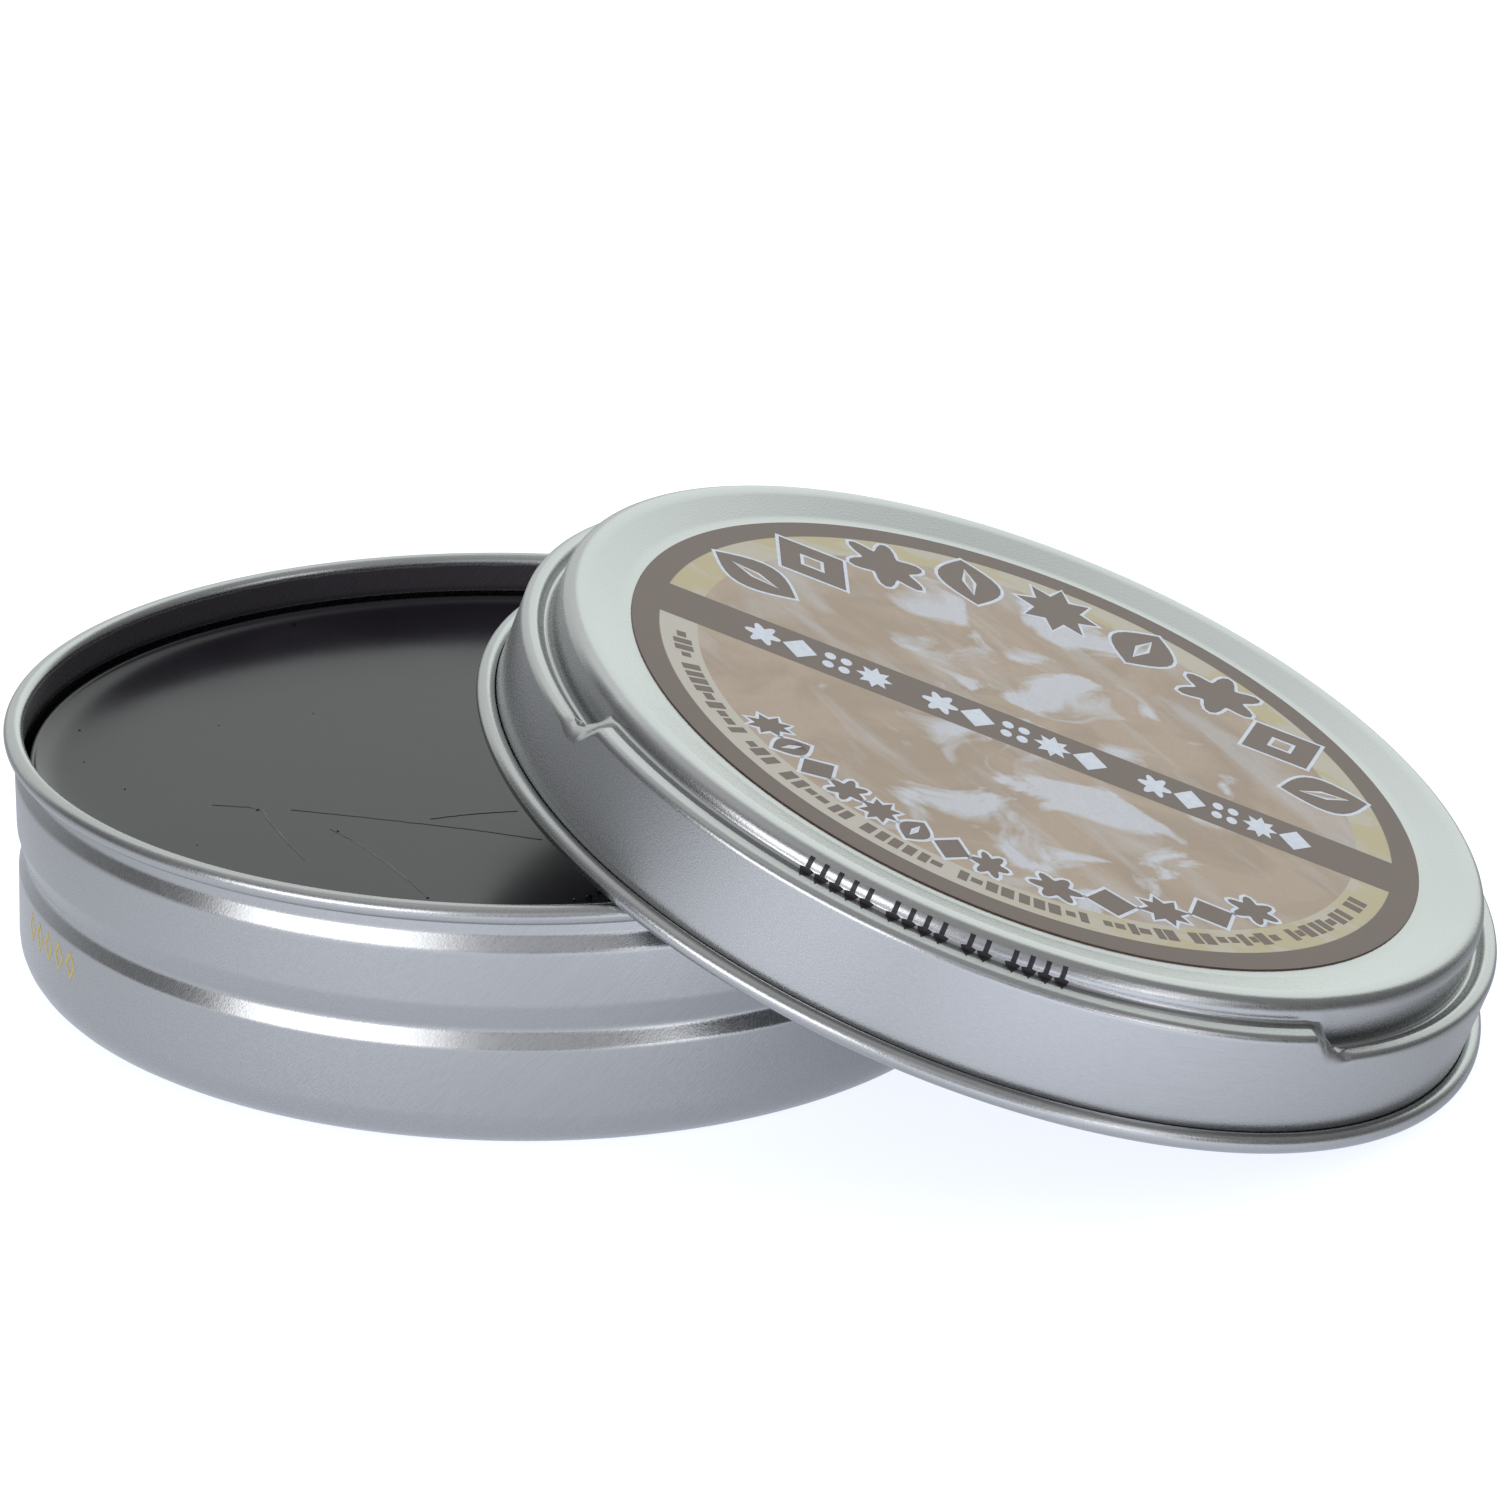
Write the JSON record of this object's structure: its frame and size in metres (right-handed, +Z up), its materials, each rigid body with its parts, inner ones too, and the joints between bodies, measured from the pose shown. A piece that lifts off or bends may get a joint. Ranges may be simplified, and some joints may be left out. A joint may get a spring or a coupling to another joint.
{
  "type": "shoe polish tin",
  "caption": "Round drawn-metal shoe polish tin, open and full of wax, with its press-to-open lid leaning on the rim.",
  "frame": {"origin": "on the tin body's axis, at the level of the ring foot it stands on", "axes": "+Z up, +X from the tin body towards the lid that leans on it, +Y to the left of that; the lid's press-to-open arc faces -Y"},
  "size_m": [0.1257, 0.0884, 0.0384],
  "materials": {
    "tinplate": "bright satin tinplate",
    "wax": "satin dark grey wax",
    "label": "printed satin paper"
  },
  "bodies": {
    "tin": {"tin_body": "tinplate", "wax_polish": "wax"},
    "lid": {"lid": "tinplate", "lid_label": "label"}
  },
  "joints": [
    {"name": "lid_lift", "type": "slide", "parent": "tin", "child": "lid", "axis": [0, 0, 1], "range_m": [0, 0.06]}
  ]
}
